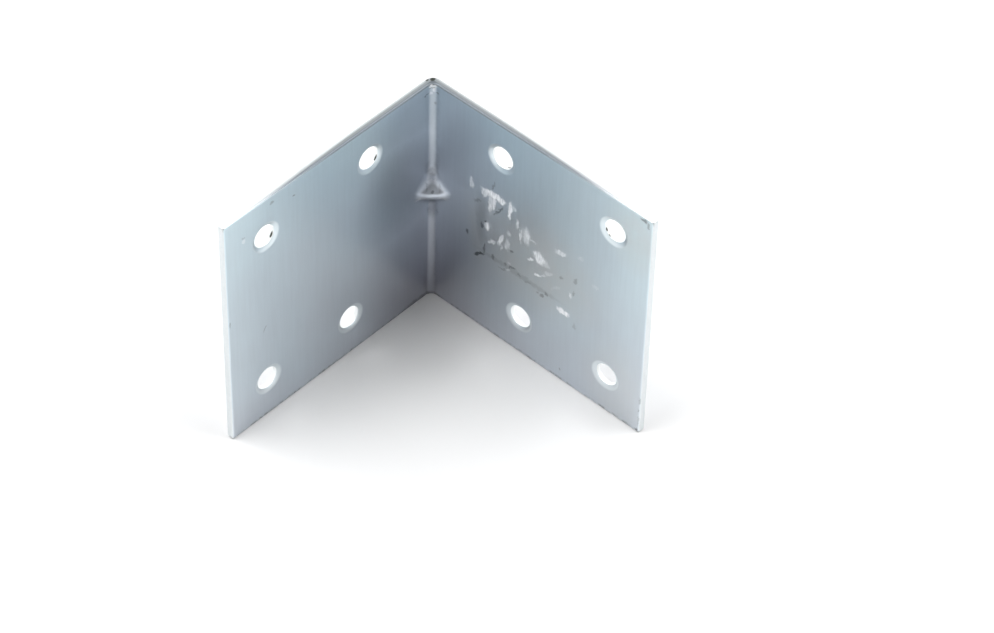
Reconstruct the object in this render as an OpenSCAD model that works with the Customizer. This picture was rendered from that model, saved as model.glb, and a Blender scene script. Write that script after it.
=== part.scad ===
// Corner brace bracket: one folded steel sheet with eight countersunk screw
// holes and a small gusset pressed into the middle of the bend.
// Origin: foot of the sharp outer corner. One flange runs along +X, the other
// along +Y, and the bend stands along +Z.

/* [Sheet] */
// Length of each flange, from the outer corner to its free edge
flange_len = 60; // [52:1:90]
// Height of the bracket, along the bend
height = 60; // [54:1:90]
// Thickness of the steel sheet
sheet_t = 1.5; // [1.2:0.1:2]
// Inside radius of the bend
bend_r = 1.5; // [1:0.1:2]

/* [Screw holes] */
// Diameter of the screw holes
hole_d = 5; // [4:0.1:6]
// Diameter of the countersink where it opens on the inner face
sink_d = 7.9; // [7:0.1:9]
// Depth of the countersink below the inner face
sink_depth = 0.8; // [0.5:0.05:1]
// Height of the lower row of holes above the foot
lower_row = 10; // [8:0.5:14]
// Distance of the upper row of holes below the top edge
upper_row = 9; // [8:0.5:14]
// Distance of the outer holes from the free edge
outer_inset = 10.2; // [8:0.1:14]
// Distance of the upper inner hole from the outer corner
upper_inner = 19.9; // [16:0.1:24]
// Distance of the lower inner hole from the outer corner
lower_inner = 26; // [20:0.1:30]
// How far the whole hole pattern sits off the bend line, towards the +Y flange
pattern_shift = 0.4; // [0:0.1:1]
// How far the upper outer hole on the +X flange strays towards the bend
stray_in = 0.6; // [0:0.1:1]
// How far that same hole strays down
stray_down = 1; // [0:0.1:1.5]

/* [Pressed gusset] */
// Height of the gusset's ridge above the foot
gusset_z = 32; // [26:0.5:34]
// Reach of the gusset out of the inner corner, to where its flanks would meet
gusset_reach = 4.1; // [3.5:0.1:4.8]
// Half the height of the gusset, where it leaves the bend
gusset_half = 4.2; // [3.5:0.1:5]
// Outside radius of the ridge
ridge_r = 1.2; // [0.8:0.1:1.5]
// Radius at the bottom of the groove behind the ridge
groove_r = 0.4; // [0.2:0.1:0.6]
// Inside radius of the blend between the gusset and a flange
blend_r = 2; // [1:0.1:2.5]

/* [Hidden] */
$fn = 96;

// Overlap that makes joined solids merge, and overrun of a cutter past a face
lap = 0.3;
// Rounded faces of the gusset meet flat ones this many degrees off tangent, and the
// seam rounds stop this far short of the ridge, so that every edge is a clean crossing
off_tangent = 3;
ridge_gap = 0.05;
// Longer than any part of the gusset
span = 4 * (gusset_reach + gusset_half);

outer_r = bend_r + sheet_t;
upper_z = height - upper_row;
outer_hole = flange_len - outer_inset;

// Screw holes on each flange: [distance from the outer corner, height]
holes_x = [
    [upper_inner - pattern_shift, upper_z],
    [outer_hole - pattern_shift - stray_in, upper_z - stray_down],
    [lower_inner - pattern_shift, lower_row],
    [outer_hole - pattern_shift, lower_row]
];
holes_y = [
    [upper_inner + pattern_shift, upper_z],
    [outer_hole + pattern_shift, upper_z],
    [lower_inner + pattern_shift, lower_row],
    [outer_hole + pattern_shift, lower_row]
];

// The gusset is a wedge laid across the corner: half its angle at the ridge
wedge_angle = atan(gusset_half / gusset_reach);
// The seam, where a flank meets a flange, drops by this angle from level
seam_angle = atan(gusset_half / (gusset_reach * sqrt(2)));
// Length of a seam, from the bend to the ridge
seam_len = norm([gusset_reach, gusset_reach, gusset_half]);
// Angle of the open corner between a flank and a flange
corner_angle = 180 - acos(sin(wedge_angle) * cos(45));

// Centre of a nose of radius nose_r, out from the inner corner
function nose_x(nose_r) = gusset_reach - nose_r / sin(wedge_angle);
// Where the flat of the upper flank ends and that nose begins
function flank_end(nose_r) =
    [nose_x(nose_r), 0] + nose_r * [sin(wedge_angle), cos(wedge_angle)];

// Section of the folded sheet: a square corner, rounded inside and out
module fold_section() {
    difference() {
        square(flange_len);
        translate([sheet_t, sheet_t]) square(flange_len);
        square(outer_r);
    }
    intersection() {
        square(outer_r);
        difference() {
            translate([outer_r, outer_r]) circle(outer_r);
            translate([outer_r, outer_r]) circle(bend_r);
        }
    }
}

// One screw hole through a flange in the XZ plane, countersunk on its inner face
module screw_hole() {
    rotate([-90, 0, 0]) {
        translate([0, 0, -lap]) cylinder(h = sheet_t + 2 * lap, d = hole_d);
        translate([0, 0, sheet_t - sink_depth])
            cylinder(h = sink_depth, d1 = hole_d, d2 = sink_d);
    }
}

module screw_holes(places) {
    for (place = places)
        translate([place.x, 0, place.y]) screw_hole();
}

// Swaps the two flanges
module swap_flanges() {
    mirror([1, -1, 0]) children();
}

// Wedge across the corner with a rounded nose, from the inner corner outwards
module wedge(nose_r) {
    top_end = flank_end(nose_r);
    rotate([0, 0, 45]) rotate([90, 0, 0])
        linear_extrude(span, center = true) {
            polygon([
                [0, gusset_half], top_end,
                [top_end.x, -top_end.y], [0, -gusset_half],
                [-gusset_reach, -2 * gusset_half], [-gusset_reach, 2 * gusset_half]
            ]);
            translate([nose_x(nose_r), 0]) circle(nose_r / cos(off_tangent));
        }
}

// What a round of radius r adds in the corner between a flank and a flange
module round_section(r) {
    centre = r * cos(off_tangent) * [1 / tan(corner_angle / 2), 1];
    foot = centre.x - r * sin(off_tangent);
    difference() {
        polygon([
            [foot, 0], centre,
            foot * [cos(corner_angle), sin(corner_angle)],
            -lap * [cos(corner_angle / 2), sin(corner_angle / 2)]
        ]);
        translate(centre) circle(r);
    }
}

// The same round along the upper seam on the +Y flange. It overruns the seam at both
// ends and is cut off at the bend and where the flat of the flank ends
module seam_round(r) {
    intersection() {
        translate([0, 0, gusset_half]) rotate([-90 - seam_angle, 0, 0]) rotate([0, 0, -90])
            translate([0, 0, -seam_len]) linear_extrude(3 * seam_len) round_section(r);
        rotate([0, 0, 45]) translate([-span, 0, 0])
            cube([span + flank_end(ridge_r).x - ridge_gap, span, span]);
    }
}

// Rounds on all four seams of a wedge
module seam_rounds(r) {
    for (side = [0, 1]) mirror([0, 0, side]) {
        seam_round(r);
        swap_flanges() seam_round(r);
    }
}

// Gusset inside the corner, lapped into the sheet
module gusset() {
    intersection() {
        wedge(ridge_r);
        translate([-lap, -lap, -span]) cube([span, span, 2 * span]);
    }
    seam_rounds(blend_r);
}

// Groove on the hidden side: the same form taken from the outer corner, so that the
// wall of the gusset is as thick as the sheet
module groove() {
    wedge(groove_r);
    seam_rounds(blend_r + sheet_t);
}

// The whole bracket: one sheet, folded, punched and pressed
module bracket() {
    color("#A9B4BC") difference() {
        union() {
            linear_extrude(height) fold_section();
            translate([sheet_t, sheet_t, gusset_z]) gusset();
        }
        translate([0, 0, gusset_z]) groove();
        screw_holes(holes_x);
        swap_flanges() screw_holes(holes_y);
    }
}

bracket();
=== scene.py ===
import math

import bmesh
import bpy
from mathutils import Matrix, Vector


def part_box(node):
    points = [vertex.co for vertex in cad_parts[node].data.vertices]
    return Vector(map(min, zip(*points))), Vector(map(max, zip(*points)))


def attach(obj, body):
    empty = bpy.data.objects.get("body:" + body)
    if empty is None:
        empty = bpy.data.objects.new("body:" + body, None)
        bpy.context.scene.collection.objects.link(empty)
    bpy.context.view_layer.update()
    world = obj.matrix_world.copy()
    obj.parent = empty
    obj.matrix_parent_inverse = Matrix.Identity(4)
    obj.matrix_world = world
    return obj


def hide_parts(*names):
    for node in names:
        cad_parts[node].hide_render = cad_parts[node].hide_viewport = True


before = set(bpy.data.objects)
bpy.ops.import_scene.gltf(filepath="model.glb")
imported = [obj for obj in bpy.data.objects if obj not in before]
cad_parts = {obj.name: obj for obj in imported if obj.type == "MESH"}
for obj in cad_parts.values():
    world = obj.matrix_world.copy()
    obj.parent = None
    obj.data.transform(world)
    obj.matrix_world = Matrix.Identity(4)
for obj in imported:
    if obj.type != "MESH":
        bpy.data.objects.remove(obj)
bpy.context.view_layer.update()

# ---------------------------------------------------------------------------
# The bracket. One blank of mild steel sheet, with its screw holes punched and
# countersunk, folded square on a press and then struck across the fold, which
# raises a small gusset inside and leaves its dent outside.
# ---------------------------------------------------------------------------
mm = 0.001
bracket_low, bracket_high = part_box("bracket")
flange_length = bracket_high.x
bracket_height = bracket_high.z
sheet = 1.5 * mm
inside_bend = 1.5 * mm
outside_bend = 2.0 * mm

# The gusset's ridge: its height, how far it stands out of the sharp corner, and
# how far above and below it the flanks run out
gusset_height = 31.25 * mm
gusset_reach = 3.8 * mm
gusset_half = 4.1 * mm
gusset_slope = math.atan(gusset_half / gusset_reach)

# The shallow dish in its upper flank: where it starts above the ridge, its half
# width, its height and its depth
dish_start = 0.3 * mm
dish_half = 1.9 * mm
dish_height = 2.6 * mm
dish_depth = 0.1 * mm


def folded_face(across, bend):
    """How far a folded face stands out from its sharp corner, across the fold."""
    if abs(across) < bend / math.sqrt(2):
        return bend * math.sqrt(2) - math.sqrt(bend**2 - across**2)
    return abs(across)


def struck_face(rise, ridge):
    """How far the punch pushed a face out, at a rise above a ridge of this radius."""
    if abs(rise) < ridge * math.cos(gusset_slope):
        return gusset_reach - ridge / math.sin(gusset_slope) + math.sqrt(ridge**2 - rise**2)
    return gusset_reach - abs(rise) / math.tan(gusset_slope)


def dished(across, rise):
    """How far the punch's round end sank the upper flank of the gusset."""
    if rise < dish_start:
        return 0
    slope_share = 0.4
    ease_height = 1.2 * mm
    above = rise - dish_start
    way_in = 1 - math.hypot(across / dish_half, above / dish_height)
    return dish_depth * min(max(way_in / slope_share, 0), 1) * min(above / ease_height, 1)


def press_face(bm, corner, bend, ridge, blend, inside):
    """One face of the pressed sheet, as a grid that is finest at the gusset.

    Only the inside shows the dish, and flanks that flare and soften upwards.
    """
    columns = 144
    rows = 132
    crowding = 2.2
    ridge_half = 0.9 * mm
    flare_slope = 0.1
    softening = 0.45
    half_width = (flange_length - corner) / math.sqrt(2)
    grid = bmesh.ops.create_grid(bm, x_segments=columns, y_segments=rows, size=1)["verts"]
    for vert in grid:
        across = half_width * math.copysign(abs(vert.co.x) ** crowding, vert.co.x)
        reach_up = bracket_height - gusset_height if vert.co.y > 0 else gusset_height
        rise = reach_up * math.copysign(abs(vert.co.y) ** crowding, vert.co.y)
        climb = max(rise, 0)
        flare = inside * flare_slope * max(abs(across) - ridge_half, 0)
        fold = folded_face(across, bend)
        strike = struck_face(max(climb - flare, 0) if rise > 0 else rise, ridge)
        soft = blend + inside * softening * min(climb, gusset_half)
        overlap = max(soft - abs(fold - strike), 0)
        out = max(fold, strike) + overlap**2 / (4 * soft) - inside * dished(across, rise)
        vert.co = Vector((
            corner + (out - across) / math.sqrt(2),
            corner + (out + across) / math.sqrt(2),
            gusset_height + rise,
        ))


zinc = bpy.data.materials.new("zinc_plated_steel")
sheared_zinc = bpy.data.materials.new("zinc_plated_sheared_edge")

bm = bmesh.new()
press_face(bm, sheet, inside_bend, ridge=1.4 * mm, blend=0.9 * mm, inside=1)
press_face(bm, 0, outside_bend, ridge=0.4 * mm, blend=2.6 * mm, inside=0)
rims = [edge for edge in bm.edges if edge.is_boundary]
for face in bmesh.ops.bridge_loops(bm, edges=rims)["faces"]:
    face.material_index = 1
bmesh.ops.recalc_face_normals(bm, faces=bm.faces)
bracket_mesh = bpy.data.meshes.new("bracket_sheet")
bm.to_mesh(bracket_mesh)
bm.free()
bracket_mesh.materials.append(zinc)
bracket_mesh.materials.append(sheared_zinc)
bracket = bpy.data.objects.new("bracket_sheet", bracket_mesh)
bpy.context.collection.objects.link(bracket)

# The punched screw holes, each countersunk from inside the corner. The punch
# that makes them is a turned tool: a 5.3 mm pin with a shallow cone above it.
# Each hole is given by its distance out from the corner and its height, in mm.
hole_radius = 2.65 * mm
sink_radius = 3.85 * mm
sink_depth = 0.55 * mm
overrun = 0.4 * mm
sink_spread = (sink_radius - hole_radius) / sink_depth
holes_on_x = [(19.5, 51), (48.8, 50), (25.6, 10), (49.4, 10)]
holes_on_y = [(20.3, 51), (50.2, 51), (26.4, 10), (50.2, 10)]

bm = bmesh.new()
into_x = Matrix(((1, 0, 0), (0, 0, 1), (0, 1, 0))).to_4x4()
into_y = Matrix(((0, 0, 1), (1, 0, 0), (0, 1, 0))).to_4x4()
for holes, turn in ((holes_on_x, into_x), (holes_on_y, into_y)):
    for along, up in holes:
        profile = [
            bm.verts.new((0, 0, -overrun)),
            bm.verts.new((hole_radius, 0, -overrun)),
            bm.verts.new((hole_radius, 0, sheet - sink_depth)),
            bm.verts.new((sink_radius + overrun * sink_spread, 0, sheet + overrun)),
            bm.verts.new((0, 0, sheet + overrun)),
        ]
        outline = [bm.edges.new(pair) for pair in zip(profile, profile[1:])]
        bmesh.ops.spin(
            bm, geom=profile + outline, axis=(0, 0, 1), cent=(0, 0, 0),
            angle=math.tau, steps=72, use_merge=True,
        )
        pin = [vert for vert in bm.verts if not vert.tag]
        place = turn @ Matrix.Translation((along * mm, up * mm, 0))
        bmesh.ops.transform(bm, matrix=place, verts=pin)
        for vert in pin:
            vert.tag = True
bmesh.ops.remove_doubles(bm, verts=bm.verts, dist=0.0001 * mm)
bmesh.ops.recalc_face_normals(bm, faces=bm.faces)

# The cone takes the sheet's finish, and the pin's wall that of a punched edge
for face in bm.faces:
    middle = face.calc_center_median()
    facing = face.normal.y if middle.x > middle.y else face.normal.x
    face.material_index = 0 if abs(facing) > 0.5 else 1
punch_mesh = bpy.data.meshes.new("punch")
bm.to_mesh(punch_mesh)
bm.free()
punch_mesh.materials.append(zinc)
punch_mesh.materials.append(sheared_zinc)
punch = bpy.data.objects.new("punch", punch_mesh)
bpy.context.collection.objects.link(punch)

punching = bracket.modifiers.new("punching", "BOOLEAN")
punching.operation = "DIFFERENCE"
punching.solver = "EXACT"
punching.object = punch
punched = bpy.data.meshes.new_from_object(
    bracket.evaluated_get(bpy.context.evaluated_depsgraph_get())
)
bracket.modifiers.clear()
bpy.data.objects.remove(punch)

# Shearing draws the inner rim over, and the four free corners are knocked off.
# Every other edge is crisp: clamp_overlap holds its rounding back to about a
# hundredth of a millimetre, because the edges round the holes are short.
touching = 0.001 * mm
corner_round = 0.5 * mm
drawn_round = 0.5 * mm
edge_round = 0.12 * mm

bm = bmesh.new()
bm.from_mesh(punched)
bmesh.ops.remove_doubles(bm, verts=bm.verts, dist=touching)
bmesh.ops.dissolve_limit(
    bm, angle_limit=math.radians(0.1), verts=bm.verts, edges=bm.edges, delimit={"MATERIAL"},
)


def on_rim(vert):
    """Whether a point lies on the sheared outline of the blank."""
    away = (vert.co.z, bracket_height - vert.co.z)
    away += (flange_length - vert.co.x, flange_length - vert.co.y)
    return min(away) < touching


def by_free_end(vert, distance):
    """Whether a point lies within a distance of a flange's free end."""
    return max(vert.co.x, vert.co.y) > flange_length - distance


free_corners = [
    edge for edge in bm.edges
    if edge.calc_face_angle(0) > math.radians(60)
    and all(by_free_end(vert, touching) for vert in edge.verts)
    and abs(edge.verts[0].co.z - edge.verts[1].co.z) < touching
    and edge.calc_length() > 0.9 * sheet
    and {face.material_index for face in edge.link_faces} == {1}
]
bmesh.ops.bevel(
    bm, geom=free_corners, offset=corner_round, offset_type="OFFSET", segments=4, profile=0.5,
    affect="EDGES", material=-1, clamp_overlap=True,
)

# The angles leave out the facets of the holes and of the pressed folds
drawn = [
    edge for edge in bm.edges
    if edge.calc_face_angle(0) > math.radians(22)
    and all(on_rim(vert) or by_free_end(vert, 1.2 * corner_round) for vert in edge.verts)
    and all(min(vert.co.x, vert.co.y) > sheet - touching for vert in edge.verts)
]
bmesh.ops.bevel(
    bm, geom=drawn, offset=drawn_round, offset_type="OFFSET", segments=4, profile=0.5,
    affect="EDGES", material=-1, clamp_overlap=True,
)
sharp = [edge for edge in bm.edges if edge.calc_face_angle(0) > math.radians(26)]
bmesh.ops.bevel(
    bm, geom=sharp, offset=edge_round, offset_type="OFFSET", segments=3, profile=0.5,
    affect="EDGES", material=-1, clamp_overlap=True,
)
for face in bm.faces:
    face.smooth = True
bm.to_mesh(bracket_mesh)
bm.free()
shading = bracket.modifiers.new("shading", "WEIGHTED_NORMAL")
shading.mode = "FACE_AREA"
shading.weight = 100

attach(bracket, "root")
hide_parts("bracket")


# Bright zinc plate, blue passivated, over cold-rolled steel sheet: a satin metal
# that gives blurred reflections, with a faint drift of colour, upright rolling
# lines, and the grubby rest of an old label. Painted shade greys it towards the
# fold and the foot, and more painted shade and highlight come with its marks.
def colour(code):
    """A linear colour from an sRGB hex code."""
    channels = [int(code[i:i + 2], 16) / 255 for i in (1, 3, 5)]
    return [c / 12.92 if c <= 0.04045 else ((c + 0.055) / 1.055) ** 2.4 for c in channels] + [1]


def add(tree, kind, settings=None, inputs=None):
    """Adds a node with its settings, and with its inputs set or linked."""
    node = tree.nodes.new(kind)
    for name, value in (settings or {}).items():
        setattr(node, name, value)
    for socket, value in (inputs or {}).items():
        if isinstance(value, bpy.types.NodeSocket):
            tree.links.new(value, node.inputs[socket])
        else:
            node.inputs[socket].default_value = value
    return node


zinc.use_nodes = True
tree = zinc.node_tree
tree.nodes.clear()
place = add(tree, "ShaderNodeTexCoord").outputs["Object"]
sides = add(tree, "ShaderNodeSeparateXYZ", None, {"Vector": place}).outputs

# How far a point is out along its flange, and how deep it is from the outer face
away = add(tree, "ShaderNodeMath", {"operation": "MAXIMUM"}, {
    0: sides["X"], 1: sides["Y"],
}).outputs["Value"]
skin = add(tree, "ShaderNodeMath", {"operation": "MINIMUM"}, {
    0: sides["X"], 1: sides["Y"],
}).outputs["Value"]

# Broad drift of the passivation in patches about 25 mm across, and painted shade:
# greyer towards the fold, and warmer and darker towards the foot
drift = add(tree, "ShaderNodeTexNoise", {"noise_dimensions": "3D"}, {
    "Vector": place, "Scale": 1 / (25 * mm), "Detail": 3.0, "Roughness": 0.5,
}).outputs["Fac"]
wander = add(tree, "ShaderNodeMath", {"operation": "MULTIPLY_ADD"}, {
    0: drift, 1: 12 * mm, 2: away,
}).outputs["Value"]
shade_from_fold = add(tree, "ShaderNodeMapRange", None, {
    "Value": wander, "From Min": 6 * mm, "From Max": 66 * mm,
}).outputs["Result"]
# Painted shade: darker towards the fold, and paler out at the free ends
tone = add(tree, "ShaderNodeValToRGB", None, {"Fac": shade_from_fold})
tone.color_ramp.elements[0].position = 0.12
tone.color_ramp.elements[0].color = colour("#C8D1DA")
tone.color_ramp.elements[1].position = 1.0
tone.color_ramp.elements[1].color = colour("#D3E1E8")
for position, code in ((0.4, "#C8D5DD"), (0.8, "#C9D7DF")):
    tone.color_ramp.elements.new(position).color = colour(code)
# Painted light: lighter towards the top, and warmer and darker towards the foot
tilt = add(tree, "ShaderNodeMath", {"operation": "MULTIPLY_ADD"}, {
    0: drift, 1: 50 * mm, 2: sides["Z"],
}).outputs["Value"]
height = add(tree, "ShaderNodeMapRange", None, {
    "Value": tilt, "From Min": 25 * mm, "From Max": 85 * mm,
}).outputs["Result"]
top_light_tint = add(tree, "ShaderNodeMix", {"data_type": "RGBA"}, {
    "Factor": height, "A": colour("#F4ECED"), "B": colour("#F9FDFD"),
}).outputs["Result"]
plate = add(tree, "ShaderNodeMix", {"data_type": "RGBA", "blend_type": "MULTIPLY"}, {
    "Factor": 1.0, "A": tone.outputs["Color"], "B": top_light_tint,
}).outputs["Result"]

# Rolling lines that stand upright, about 15 mm long. They are drawn 0.7 mm apart,
# coarser than the real ones, so that they show.
stretch = add(tree, "ShaderNodeMapping", None, {
    "Vector": place, "Scale": (1 / (0.7 * mm), 1 / (0.7 * mm), 1 / (15 * mm)),
}).outputs["Vector"]
lines = add(tree, "ShaderNodeTexNoise", None, {
    "Vector": stretch, "Scale": 1.0, "Detail": 3.0, "Roughness": 0.6,
}).outputs["Fac"]
lines_grey = add(tree, "ShaderNodeMapRange", None, {
    "Value": lines, "From Min": 0.3, "From Max": 0.7, "To Min": 0.97, "To Max": 1.02,
}).outputs["Result"]
lined = add(tree, "ShaderNodeMix", {"data_type": "RGBA", "blend_type": "MULTIPLY"}, {
    "Factor": 1.0, "A": plate, "B": lines_grey,
}).outputs["Result"]

# The rest of a label on the right flange: a greasy film inside a ragged edge,
# white flecks of paper and glue, dark scuffs and a smudge, with a few knocks
# elsewhere. Painted shade is laid in as marks too: patches darkening the flanges
# and the fold near the corner, the V above the gusset, the gusset's dish and the
# foot by the fold, and a painted highlight along the gusset's ridge. Each mark is
# an ellipse on a flange, the fold or the gusset: how far out or across, how high,
# its half sizes in mm, its turn in degrees, and its strength. Their outlines are
# torn by about a millimetre.
ragged = add(tree, "ShaderNodeTexNoise", None, {
    "Vector": place, "Scale": 1 / (1.2 * mm), "Detail": 4.0, "Roughness": 0.65,
}).outputs["Color"]
pull = add(tree, "ShaderNodeVectorMath", {"operation": "MULTIPLY_ADD"}, {
    0: ragged, 1: (0.8 * mm, 1.7 * mm, 2.1 * mm), 2: (-0.4 * mm, -0.85 * mm, -1.05 * mm),
}).outputs["Vector"]
torn = add(tree, "ShaderNodeVectorMath", {"operation": "ADD"}, {
    0: place, 1: pull,
}).outputs["Vector"]
marks = [
    ("film", "right", (
        (29, 29, 19, 13, 0, 0.6), (18, 32, 8, 9, 0, 0.5), (14.5, 28, 3.5, 10, 0, 0.55),
        (53, 9, 9, 13, 0, 0.35), (56, 53, 8, 9, 0, 0.45),
    )),
    ("flecks_and_highlight", "right", (
        (12.6, 39.5, 0.55, 1.5, 0, 0.5), (18.7, 39.9, 3.0, 0.9, 2, 1.0),
        (16.0, 38.9, 0.7, 1.2, 0, 0.75), (17.7, 37.4, 0.6, 2.9, 0, 0.6),
        (18.8, 37.9, 0.5, 1.9, 0, 0.7), (20.9, 39.8, 0.8, 0.9, 20, 0.85),
        (23.1, 38.5, 0.5, 2.4, -4, 0.9), (25.3, 36.0, 0.4, 1.3, 0, 0.55),
        (26.2, 33.6, 0.3, 1.9, 0, 0.6), (27.7, 34.6, 1.0, 2.2, 0, 0.5),
        (29.3, 34.2, 1.0, 0.35, 10, 0.4), (17, 30.1, 0.7, 1.1, 0, 0.7),
        (20.8, 28.8, 0.5, 1.9, -20, 0.6), (21.1, 26.9, 0.25, 1.1, 0, 0.4),
        (22.6, 28.6, 0.6, 1.6, 0, 0.4), (18.2, 26.5, 1.2, 0.45, 35, 0.5),
        (31.4, 30.7, 1.5, 1.5, 0, 0.75), (33, 30.2, 1.2, 0.9, 0, 0.35),
        (29, 28.9, 0.9, 0.4, 35, 0.65), (31.1, 25.7, 0.9, 0.4, 30, 0.7),
        (32.5, 26.5, 0.9, 0.3, 30, 0.4), (40, 26.2, 0.35, 0.9, 0, 0.6),
        (38.3, 20.2, 1.6, 0.7, 0, 1.0), (23.1, 21.8, 0.7, 0.3, 35, 0.55),
        (24.3, 40, 0.5, 0.4, 45, 0.4), (37, 36.1, 1.4, 0.55, 15, 0.5),
        (34, 28.2, 1.2, 0.5, 30, 0.3), (46.4, 32.9, 0.9, 0.5, 0, 0.2),
        (22.9, 32, 0.5, 0.8, -20, 0.3), (23.2, 23.8, 0.5, 0.4, 0, 0.4),
        (42.3, 38.2, 0.8, 0.5, 30, 0.25), (25.3, 37.2, 0.4, 0.8, 0, 0.3),
        (36, 25.5, 1.5, 0.4, 40, 0.2),
    )),
    ("flecks_and_highlight", "left", ((54.9, 53.1, 0.5, 0.3, 0, 0.4),)),
    # A painted highlight along the underside of the gusset's ridge
    ("flecks_and_highlight", "gusset", ((0, 30.3, 3.6, 0.5, 0, 0.45),)),
    ("flecks_and_highlight", "fold", (
        (0, 59.4, 0.8, 0.4, 0, 0.8), (-0.3, 58.4, 0.3, 0.5, 0, 0.5),
        (0.5, 57.6, 0.25, 0.4, 0, 0.4),
    )),
    ("scuffs_and_shade", "right", (
        (11.6, 25.1, 0.45, 0.7, 0, 0.6), (15, 20.9, 1.7, 0.3, 37, 0.8),
        (16.4, 23.3, 0.25, 1.7, -8, 0.5), (18.8, 22.7, 0.35, 0.7, 0, 0.5),
        (22.3, 22.6, 0.4, 0.5, 30, 0.4), (24.3, 23.0, 1.0, 0.3, 15, 0.55),
        (26.1, 22.4, 0.8, 0.3, 10, 0.4), (33.6, 22.0, 0.6, 0.4, 0, 0.45),
        (32.4, 20.8, 0.6, 0.4, 30, 0.4), (31.3, 21.0, 0.4, 0.3, 0, 0.3),
        (15.6, 29.6, 0.4, 1.0, 0, 0.5), (20.3, 36.8, 0.3, 1.7, -35, 0.5),
        (19.3, 35.2, 0.25, 0.9, -45, 0.3), (23.9, 27.6, 0.6, 0.3, 40, 0.45),
        (41.2, 31.1, 0.4, 0.8, -20, 0.3), (37.3, 29.4, 0.3, 0.7, -10, 0.3),
        (40.7, 27.2, 0.3, 0.6, 0, 0.3), (16.6, 31.3, 0.3, 0.3, 0, 0.6),
        (21.4, 20.9, 0.8, 0.25, 10, 0.3), (14.2, 35.6, 1.2, 0.4, 30, 0.3),
        (28.5, 21.9, 1.2, 0.3, 5, 0.3), (18.5, 42.5, 0.3, 1.2, -20, 0.3),
        (26, 22.3, 11, 0.7, 0, 0.16), (41.5, 18.2, 0.5, 1.0, 0, 0.2),
        (2.9, 57.8, 0.35, 0.25, 0, 0.6), (57.6, 59.2, 0.9, 0.35, 0, 0.6),
        (58.8, 58.4, 0.3, 0.7, 0, 0.4), (59.6, 9.4, 0.2, 0.8, 0, 0.35),
        (59.5, 6.6, 0.25, 0.5, 0, 0.4), (59.6, 3.4, 0.2, 1.6, 0, 0.25),
        (37.9, 3.1, 0.25, 0.4, 30, 0.4), (59.3, 0.8, 0.4, 0.5, 0, 0.6),
    )),
    # Scuffs on the left flange; the one at the foot by the fold is painted contact shadow
    ("scuffs_and_shade", "left", (
        (54.8, 54.0, 0.5, 0.25, 20, 0.25), (40.9, 55.8, 0.35, 0.35, 0, 0.5),
        (46.9, 58.1, 0.6, 0.3, 0, 0.4), (50, 25.3, 0.15, 0.9, 30, 0.4),
        (59.4, 33, 0.15, 0.9, 0, 0.4), (5, 0.5, 4, 0.8, 0, 0.4),
    )),
    # On the fold: dark bits at its top, and painted shade in the V above the gusset
    ("scuffs_and_shade", "fold", (
        (0.2, 58.9, 0.6, 0.2, 0, 0.6), (-0.5, 55.0, 0.25, 0.3, 0, 0.4),
        (1.3, 57.6, 0.5, 0.25, 0, 0.6), (0, 36.1, 1.3, 1.1, 0, 0.45),
        (0.8, 37.6, 0.4, 1.3, 0, 0.15), (-0.8, 37.6, 0.4, 1.3, 0, 0.15),
    )),
    # On the gusset: a dark dot above the ridge, and painted shade along the outline and top of
    # its dish
    ("scuffs_and_shade", "gusset", (
        (0, 32.2, 0.45, 0.3, 0, 0.5), (-1.5, 33.1, 0.25, 0.9, 0, 0.25),
        (1.2, 33.2, 0.25, 1.0, 0, 0.3), (-0.6, 34.4, 0.6, 0.25, 0, 0.2),
        (0.5, 34.5, 0.6, 0.25, 0, 0.2),
    )),
    # Painted shade near the fold on both flanges, over the fold's lower highlight, in the V
    # above the gusset and on its left flank; the narrow upright patch on the right flange is a
    # smudge
    ("shade_and_smudges", "right", ((15.4, 31, 1.8, 8, 0, 0.35), (12, 20, 10, 12, 0, 0.12))),
    ("shade_and_smudges", "left", (
        (9, 38, 13, 15, 0, 0.7), (7, 12, 13, 20, 0, 0.3), (6, 54, 14, 10, 0, 0.5),
    )),
    ("shade_and_smudges", "fold", (
        (0, 12, 1.1, 26, 0, 0.3), (0, 26, 1.2, 4, 0, 0.85), (0, 34.8, 1.8, 1.7, 0, 1.0),
    )),
    ("shade_and_smudges", "gusset", ((2.7, 33.4, 1.2, 2.0, 0, 0.2),)),
]

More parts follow.
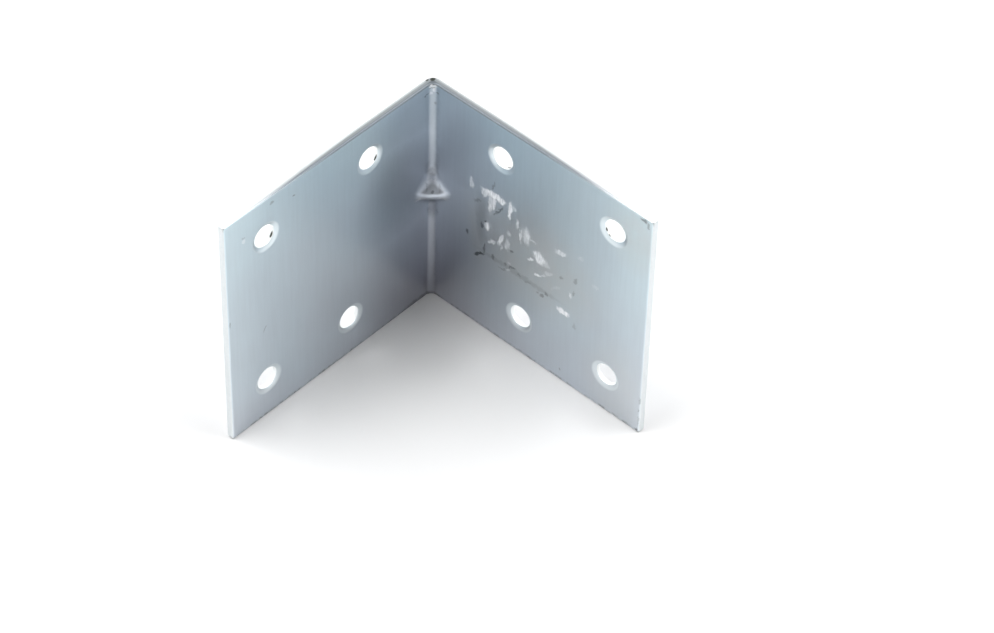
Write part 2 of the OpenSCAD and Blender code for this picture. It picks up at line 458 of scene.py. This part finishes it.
# A mark fades out past its half sizes, over its outer part or over most of it,
# and reaches a little into the sheet. The fold and the gusset stand out from the
# sharp corner, so their marks lie at a depth of their own.
fade = 1.35
sharp_fall = 0.55
soft_fall = 0.8
through = 2.7 * mm
depths = {"fold": 1.9 * mm, "gusset": 3.4 * mm}
shown = {}
for kind, side, spots in marks:
    fall = soft_fall if kind in ("film", "shade_and_smudges") else sharp_fall
    for out, up, half_width, half_height, degrees, strength in spots:
        wide = fade * half_width * mm
        tall = fade * half_height * mm
        if side == "right":
            centre = (sheet, out * mm, up * mm)
            turn = (math.radians(degrees), 0, 0)
            size = (through, wide, tall)
        elif side == "left":
            centre = (out * mm, sheet, up * mm)
            turn = (0, -math.radians(degrees), 0)
            size = (wide, through, tall)
        else:
            across = Vector((1, -1, 0)).normalized() * out * mm
            centre = Vector((depths[side], depths[side], up * mm)) + across
            turn = (0, 0, -math.pi / 4)
            size = (wide, through, tall)
        centred = add(tree, "ShaderNodeMapping", {"vector_type": "TEXTURE"}, {
            "Vector": torn, "Location": centre, "Rotation": turn, "Scale": size,
        }).outputs["Vector"]
        inside = add(tree, "ShaderNodeTexGradient", {"gradient_type": "SPHERICAL"}, {
            "Vector": centred,
        }).outputs["Fac"]
        patch = add(tree, "ShaderNodeMapRange", {
            "interpolation_type": "SMOOTHSTEP", "clamp": False,
        }, {
            "Value": inside, "From Max": fall, "To Max": strength,
        }).outputs["Result"]
        shown[kind] = add(tree, "ShaderNodeMath", {"operation": "MAXIMUM"}, {
            0: shown.get(kind, 0.0), 1: patch,
        }).outputs["Value"]

# All of this is on the inner faces, and the outer ones are clean
inner = add(tree, "ShaderNodeMapRange", None, {
    "Value": skin, "From Min": 0.8 * mm, "From Max": 1.2 * mm,
}).outputs["Result"]
for kind in shown:
    shown[kind] = add(tree, "ShaderNodeMath", {"operation": "MULTIPLY"}, {
        0: shown[kind], 1: inner,
    }).outputs["Value"]

# Paper and glue, and the painted ridge highlight, tear into upright streaks about 0.4 mm wide
fibre_space = add(tree, "ShaderNodeMapping", None, {
    "Vector": place, "Scale": (1 / (0.4 * mm), 1 / (0.4 * mm), 1 / (1.6 * mm)),
}).outputs["Vector"]
fibres = add(tree, "ShaderNodeTexNoise", None, {
    "Vector": fibre_space, "Scale": 1.0, "Detail": 3.0, "Roughness": 0.6,
}).outputs["Fac"]
thinned = add(tree, "ShaderNodeMapRange", None, {
    "Value": fibres, "From Min": 0.38, "From Max": 0.58, "To Min": 0.5, "To Max": 1.0,
}).outputs["Result"]
paper_and_highlight = add(tree, "ShaderNodeMath", {"operation": "MULTIPLY"}, {
    0: shown["flecks_and_highlight"], 1: thinned,
}).outputs["Value"]

# The film is patchy every 5 mm or so, and drifts from olive to grey
blotches = add(tree, "ShaderNodeTexNoise", None, {
    "Vector": place, "Scale": 1 / (5 * mm), "Detail": 3.0, "Roughness": 0.6,
}).outputs["Fac"]
patchy = add(tree, "ShaderNodeMapRange", None, {
    "Value": blotches, "From Min": 0.35, "From Max": 0.65, "To Min": 0.6, "To Max": 1.0,
}).outputs["Result"]
film = add(tree, "ShaderNodeMath", {"operation": "MULTIPLY"}, {
    0: shown["film"], 1: patchy,
}).outputs["Value"]
film_colour = add(tree, "ShaderNodeMix", {"data_type": "RGBA"}, {
    "Factor": blotches, "A": colour("#C6CBC1"), "B": colour("#CCCBCE"),
}).outputs["Result"]
filmed = add(tree, "ShaderNodeMix", {"data_type": "RGBA"}, {
    "Factor": film, "A": lined, "B": film_colour,
}).outputs["Result"]

# The countersinks lie inside the sheet's thickness, and are painted brighter: a
# painted highlight for the light they catch
below_face = add(tree, "ShaderNodeMapRange", None, {
    "Value": skin, "From Min": 1.47 * mm, "From Max": 1.3 * mm,
}).outputs["Result"]
above_back = add(tree, "ShaderNodeMapRange", None, {
    "Value": skin, "From Min": 0.3 * mm, "From Max": 0.5 * mm, "To Max": 0.55,
}).outputs["Result"]
in_sink = add(tree, "ShaderNodeMath", {"operation": "MULTIPLY"}, {
    0: below_face, 1: above_back,
}).outputs["Value"]
sink_painted_light = add(tree, "ShaderNodeMix", {"data_type": "RGBA"}, {
    "Factor": in_sink, "A": filmed, "B": colour("#EAF2F4"),
}).outputs["Result"]
# Painted shade, and one smudge, darken the plate
shaded_and_smudged = add(tree, "ShaderNodeMix", {"data_type": "RGBA", "blend_type": "MULTIPLY"}, {
    "Factor": shown["shade_and_smudges"], "A": sink_painted_light, "B": colour("#ACADB2"),
}).outputs["Result"]
# Dark scuffs, and painted shade where the marks stand for it
scuffed_and_shaded = add(tree, "ShaderNodeMix", {"data_type": "RGBA"}, {
    "Factor": shown["scuffs_and_shade"], "A": shaded_and_smudged, "B": colour("#4C4F52"),
}).outputs["Result"]

# Grime in the burr along the bottom edge, broken up every millimetre or so, with
# painted contact shadow where the sheet stands on the table
burr = add(tree, "ShaderNodeTexNoise", None, {
    "Vector": place, "Scale": 1 / (1.1 * mm), "Detail": 2.0, "Roughness": 0.5,
}).outputs["Fac"]
caught = add(tree, "ShaderNodeMapRange", None, {
    "Value": burr, "From Min": 0.42, "From Max": 0.68,
}).outputs["Result"]
by_table = add(tree, "ShaderNodeMapRange", {"interpolation_type": "SMOOTHSTEP"}, {
    "Value": sides["Z"], "From Min": 1.2 * mm, "From Max": 0.3 * mm, "To Max": 0.8,
}).outputs["Result"]
along_table = add(tree, "ShaderNodeMath", {"operation": "MULTIPLY"}, {
    0: inner, 1: by_table,
}).outputs["Value"]
grime_and_contact_shade = add(tree, "ShaderNodeMath", {"operation": "MULTIPLY"}, {
    0: caught, 1: along_table,
}).outputs["Value"]
dirtied_and_shaded = add(tree, "ShaderNodeMix", {"data_type": "RGBA"}, {
    "Factor": grime_and_contact_shade, "A": scuffed_and_shaded, "B": colour("#6A6C68"),
}).outputs["Result"]

# Painted shade: the drawn border along the top is darker for the first two thirds
# of its length, from the fold out
on_border = add(tree, "ShaderNodeMapRange", None, {
    "Value": sides["Z"], "From Min": 59.55 * mm, "From Max": 59.75 * mm,
}).outputs["Result"]
near_fold = add(tree, "ShaderNodeMapRange", None, {
    "Value": wander, "From Min": 58 * mm, "From Max": 36 * mm,
}).outputs["Result"]
border = add(tree, "ShaderNodeMath", {"operation": "MULTIPLY"}, {
    0: on_border, 1: near_fold,
}).outputs["Value"]
on_lip = add(tree, "ShaderNodeMapRange", None, {
    "Value": sides["Z"], "From Min": 59.82 * mm, "From Max": 59.92 * mm,
}).outputs["Result"]
border_shade_tone = add(tree, "ShaderNodeMix", {"data_type": "RGBA"}, {
    "Factor": on_lip, "A": colour("#7F858A"), "B": colour("#656B70"),
}).outputs["Result"]
border_shaded = add(tree, "ShaderNodeMix", {"data_type": "RGBA"}, {
    "Factor": border, "A": dirtied_and_shaded, "B": border_shade_tone,
}).outputs["Result"]

# The flecks and the painted ridge highlight lie on top of everything, and are
# matt where the plate is satin
base = add(tree, "ShaderNodeMix", {"data_type": "RGBA"}, {
    "Factor": paper_and_highlight, "A": border_shaded, "B": colour("#FAFCFF"),
}).outputs["Result"]
metal = add(tree, "ShaderNodeMath", {"operation": "SUBTRACT"}, {
    0: 1.0, 1: paper_and_highlight,
}).outputs["Value"]
satin = add(tree, "ShaderNodeMapRange", None, {
    "Value": lines, "From Min": 0.3, "From Max": 0.7, "To Min": 0.30, "To Max": 0.36,
}).outputs["Result"]
roughness = add(tree, "ShaderNodeMath", {"operation": "MULTIPLY_ADD"}, {
    0: paper_and_highlight, 1: 0.4, 2: satin,
}).outputs["Value"]
relief = add(tree, "ShaderNodeBump", None, {
    "Height": lines, "Strength": 0.1, "Distance": 0.02 * mm,
}).outputs["Normal"]
steel = add(tree, "ShaderNodeBsdfPrincipled", None, {
    "Base Color": base, "Metallic": metal, "Roughness": roughness, "Normal": relief,
}).outputs["BSDF"]
add(tree, "ShaderNodeOutputMaterial", None, {"Surface": steel})

# The same plate over a sheared or punched edge: coarser and paler than the sheet,
# because the torn steel takes a thicker, duller coat.
sheared_zinc.use_nodes = True
tree = sheared_zinc.node_tree
tree.nodes.clear()
place = add(tree, "ShaderNodeTexCoord").outputs["Object"]
tearing = add(tree, "ShaderNodeTexNoise", None, {
    "Vector": place, "Scale": 1 / (0.8 * mm), "Detail": 4.0, "Roughness": 0.6,
}).outputs["Fac"]
clean = add(tree, "ShaderNodeMix", {"data_type": "RGBA"}, {
    "Factor": tearing, "A": colour("#D2D9DC"), "B": colour("#E6E9EA"),
}).outputs["Result"]

# Painted shade: the rim is darker along the top near the fold, more so on its
# drawn inner side
sides = add(tree, "ShaderNodeSeparateXYZ", None, {"Vector": place}).outputs
away = add(tree, "ShaderNodeMath", {"operation": "MAXIMUM"}, {
    0: sides["X"], 1: sides["Y"],
}).outputs["Value"]
skin = add(tree, "ShaderNodeMath", {"operation": "MINIMUM"}, {
    0: sides["X"], 1: sides["Y"],
}).outputs["Value"]
inward = add(tree, "ShaderNodeMath", {"operation": "MULTIPLY_ADD"}, {
    0: skin, 1: -22.0, 2: away,
}).outputs["Value"]
near_fold = add(tree, "ShaderNodeMapRange", None, {
    "Value": inward, "From Min": 37 * mm, "From Max": 15 * mm,
}).outputs["Result"]
on_top = add(tree, "ShaderNodeMapRange", None, {
    "Value": sides["Z"], "From Min": 58.8 * mm, "From Max": 59.3 * mm,
}).outputs["Result"]
off_arris = add(tree, "ShaderNodeMapRange", None, {
    "Value": skin, "From Min": 0.1 * mm, "From Max": 0.55 * mm, "To Min": 0.35, "To Max": 1.0,
}).outputs["Result"]
along_fold = add(tree, "ShaderNodeMath", {"operation": "MULTIPLY"}, {
    0: near_fold, 1: off_arris,
}).outputs["Value"]
rim_shade = add(tree, "ShaderNodeMath", {"operation": "MULTIPLY"}, {
    0: along_fold, 1: on_top,
}).outputs["Value"]
drawn_side = add(tree, "ShaderNodeMapRange", None, {
    "Value": skin, "From Min": 0.9 * mm, "From Max": 1.1 * mm,
}).outputs["Result"]
rim_shade_tone = add(tree, "ShaderNodeMix", {"data_type": "RGBA"}, {
    "Factor": drawn_side, "A": colour("#8A8F92"), "B": colour("#656B70"),
}).outputs["Result"]
rim_shaded = add(tree, "ShaderNodeMix", {"data_type": "RGBA"}, {
    "Factor": rim_shade, "A": clean, "B": rim_shade_tone,
}).outputs["Result"]

# Olive grime along the outer arris near the fold, and a few black nicks: where,
# in mm, and their half sizes
arris = add(tree, "ShaderNodeMapRange", {"interpolation_type": "SMOOTHSTEP"}, {
    "Value": skin, "From Min": 0.7 * mm, "From Max": 0.1 * mm, "To Max": 0.25,
}).outputs["Result"]
specks = add(tree, "ShaderNodeMapRange", None, {
    "Value": tearing, "From Min": 0.4, "From Max": 0.6,
}).outputs["Result"]
on_arris = add(tree, "ShaderNodeMath", {"operation": "MULTIPLY"}, {
    0: arris, 1: specks,
}).outputs["Value"]
arris_grime = add(tree, "ShaderNodeMath", {"operation": "MULTIPLY"}, {
    0: on_arris, 1: rim_shade,
}).outputs["Value"]
nicks = [
    ((0.9, 0.9, 60), (0.6, 0.5, 0.5)), ((1.9, 0.3, 60), (0.4, 0.2, 0.25)),
    ((17.4, 0.75, 49.5), (0.5, 0.2, 1.2)), ((46.6, 0.6, 48.6), (0.5, 0.25, 1.2)),
    ((0.75, 47.9, 49.8), (0.2, 0.25, 0.8)), ((0.8, 48.8, 48.7), (0.15, 0.35, 0.7)),
    ((0.2, 21.7, 48.7), (0.15, 0.9, 0.5)),
]

# How many half sizes a point is from the nearest nick
gouge = 9.0
for where, half_sizes in nicks:
    centred = add(tree, "ShaderNodeMapping", {"vector_type": "TEXTURE"}, {
        "Vector": place,
        "Location": [value * mm for value in where],
        "Scale": [value * mm for value in half_sizes],
    }).outputs["Vector"]
    radius = add(tree, "ShaderNodeVectorMath", {"operation": "LENGTH"}, {
        0: centred,
    }).outputs["Value"]
    gouge = add(tree, "ShaderNodeMath", {"operation": "MINIMUM"}, {
        0: gouge, 1: radius,
    }).outputs["Value"]
nicked = add(tree, "ShaderNodeMapRange", {"interpolation_type": "SMOOTHSTEP"}, {
    "Value": gouge, "From Min": 1.2, "From Max": 0.7,
}).outputs["Result"]
grime = add(tree, "ShaderNodeMath", {"operation": "MAXIMUM"}, {
    0: arris_grime, 1: nicked,
}).outputs["Value"]

# The wall of a hole is painted near white and half metallic, a painted reflection
# of the white table seen through the hole
in_hole = add(tree, "ShaderNodeMath", {"operation": "LESS_THAN"}, {
    0: away, 1: 57 * mm,
}).outputs["Value"]
off_rim = add(tree, "ShaderNodeMath", {"operation": "COMPARE"}, {
    0: sides["Z"], 1: 30 * mm, 2: 27 * mm,
}).outputs["Value"]
land = add(tree, "ShaderNodeMath", {"operation": "MULTIPLY"}, {
    0: in_hole, 1: off_rim,
}).outputs["Value"]
land_painted_light = add(tree, "ShaderNodeMix", {"data_type": "RGBA"}, {
    "Factor": land, "A": rim_shaded, "B": colour("#F8FBFB"),
}).outputs["Result"]
edge_metal = add(tree, "ShaderNodeMath", {"operation": "MULTIPLY_ADD"}, {
    0: land, 1: -0.6, 2: 1.0,
}).outputs["Value"]
edge_tone = add(tree, "ShaderNodeMix", {"data_type": "RGBA"}, {
    "Factor": grime, "A": land_painted_light, "B": colour("#3F423D"),
}).outputs["Result"]
edge_roughness = add(tree, "ShaderNodeMapRange", None, {
    "Value": tearing, "From Min": 0.3, "From Max": 0.7, "To Min": 0.4, "To Max": 0.5,
}).outputs["Result"]
edge_relief = add(tree, "ShaderNodeBump", None, {
    "Height": tearing, "Strength": 0.3, "Distance": 0.05 * mm,
}).outputs["Normal"]
edge_steel = add(tree, "ShaderNodeBsdfPrincipled", None, {
    "Base Color": edge_tone, "Metallic": edge_metal, "Roughness": edge_roughness,
    "Normal": edge_relief,
}).outputs["BSDF"]
add(tree, "ShaderNodeOutputMaterial", None, {"Surface": edge_steel})

# ---------------------------------------------------------------------------
# The table top: a plain white sheet, wide enough to run out of view. It keeps
# the bracket's shadow.
# ---------------------------------------------------------------------------
bm = bmesh.new()
bmesh.ops.create_grid(bm, x_segments=1, y_segments=1, size=3)
bmesh.ops.translate(bm, vec=(0, 0, bracket_low.z), verts=bm.verts)
table_mesh = bpy.data.meshes.new("table_top")
bm.to_mesh(table_mesh)
bm.free()
table = bpy.data.objects.new("table_top", table_mesh)
bpy.context.collection.objects.link(table)

paper = bpy.data.materials.new("white_paper")
paper.use_nodes = True
tree = paper.node_tree
tree.nodes.clear()
matt = add(tree, "ShaderNodeBsdfDiffuse", None, {"Color": colour("#F9F9F9")}).outputs["BSDF"]
add(tree, "ShaderNodeOutputMaterial", None, {"Surface": matt})
table_mesh.materials.append(paper)

# ---------------------------------------------------------------------------
# Studio light: a room that is white for the eye and in the metal's reflections,
# but dimmer in front. A large soft lamp hangs on each side of the bracket, with
# two weaker ones behind, and a small one in front that lights the table.
# ---------------------------------------------------------------------------
world = bpy.data.worlds.new("studio")
bpy.context.scene.world = world
world.use_nodes = True
tree = world.node_tree
tree.nodes.clear()

# Its white doesn't light the table, which keeps the bracket's shadow
rays = add(tree, "ShaderNodeLightPath").outputs
seen = add(tree, "ShaderNodeMath", {"operation": "MAXIMUM"}, {
    0: rays["Is Camera Ray"], 1: rays["Is Glossy Ray"],
}).outputs["Value"]
direct = add(tree, "ShaderNodeMath", {"operation": "LESS_THAN"}, {
    0: rays["Diffuse Depth"], 1: 0.5,
}).outputs["Value"]
lit = add(tree, "ShaderNodeMath", {"operation": "MULTIPLY"}, {
    0: seen, 1: direct,
}).outputs["Value"]

# Dimmer round the direction that the gusset's upper flank mirrors
heading = add(tree, "ShaderNodeTexCoord").outputs["Generated"]
towards_front = add(tree, "ShaderNodeVectorMath", {"operation": "DOT_PRODUCT"}, {
    0: heading, 1: (0.57, 0.53, 0.63),
}).outputs["Value"]
front = add(tree, "ShaderNodeMapRange", {"interpolation_type": "SMOOTHSTEP"}, {
    "Value": towards_front, "From Min": 0.72, "From Max": 0.9, "To Min": 1.0, "To Max": 0.36,
}).outputs["Result"]
brightness = add(tree, "ShaderNodeMath", {"operation": "MULTIPLY"}, {
    0: lit, 1: front,
}).outputs["Value"]
room = add(tree, "ShaderNodeBackground", None, {
    "Color": colour("#FFFFFF"), "Strength": brightness,
}).outputs["Background"]
add(tree, "ShaderNodeOutputWorld", None, {"Surface": room})

# Each lamp's bearing and elevation in degrees, its width in metres and its watts
lamp_distance = 1.2
lamps = [
    ("left_lamp", -45, 67, 0.8, 11.0), ("right_lamp", 135, 57, 0.8, 7.6),
    ("back_left_lamp", -90, 35, 0.8, 2.3), ("back_right_lamp", 180, 35, 0.8, 5.2),
    ("front_lamp", 41, 17, 0.4, 4.0),
]
for name, bearing, elevation, width, watts in lamps:
    lamp = bpy.data.lights.new(name, "AREA")
    lamp.shape = "SQUARE"
    lamp.size = width
    lamp.energy = watts
    holder = bpy.data.objects.new(name, lamp)
    turn = Matrix.Rotation(math.radians(bearing + 90), 4, "Z")
    turn = turn @ Matrix.Rotation(math.radians(90 - elevation), 4, "X")
    holder.matrix_world = turn @ Matrix.Translation((0, 0, lamp_distance))
    bpy.context.collection.objects.link(holder)

# The front lamp would show as a bright star in the gusset
bpy.data.objects["front_lamp"].visible_glossy = False

# ---------------------------------------------------------------------------
# Camera: a long lens, looking down into the corner from in front of the fold.
# Its bearing, elevation and roll are in degrees.
# ---------------------------------------------------------------------------
camera_bearing = 41.46
camera_elevation = 45.87
camera_roll = 1.68
camera_distance = 747 * mm
aim = Matrix.Translation((5.89 * mm, 24.32 * mm, 12.15 * mm))

lens = bpy.data.cameras.new("camera")
lens.sensor_width = 36
lens.lens = 131.3
lens.clip_end = 10
camera = bpy.data.objects.new("camera", lens)
turn = Matrix.Rotation(math.radians(camera_bearing + 90), 4, "Z")
turn = turn @ Matrix.Rotation(math.radians(90 - camera_elevation), 4, "X")
turn = turn @ Matrix.Rotation(math.radians(camera_roll), 4, "Z")
camera.matrix_world = aim @ turn @ Matrix.Translation((0, 0, camera_distance))
bpy.context.collection.objects.link(camera)
bpy.context.scene.camera = camera

bpy.context.scene.view_settings.view_transform = "Standard"
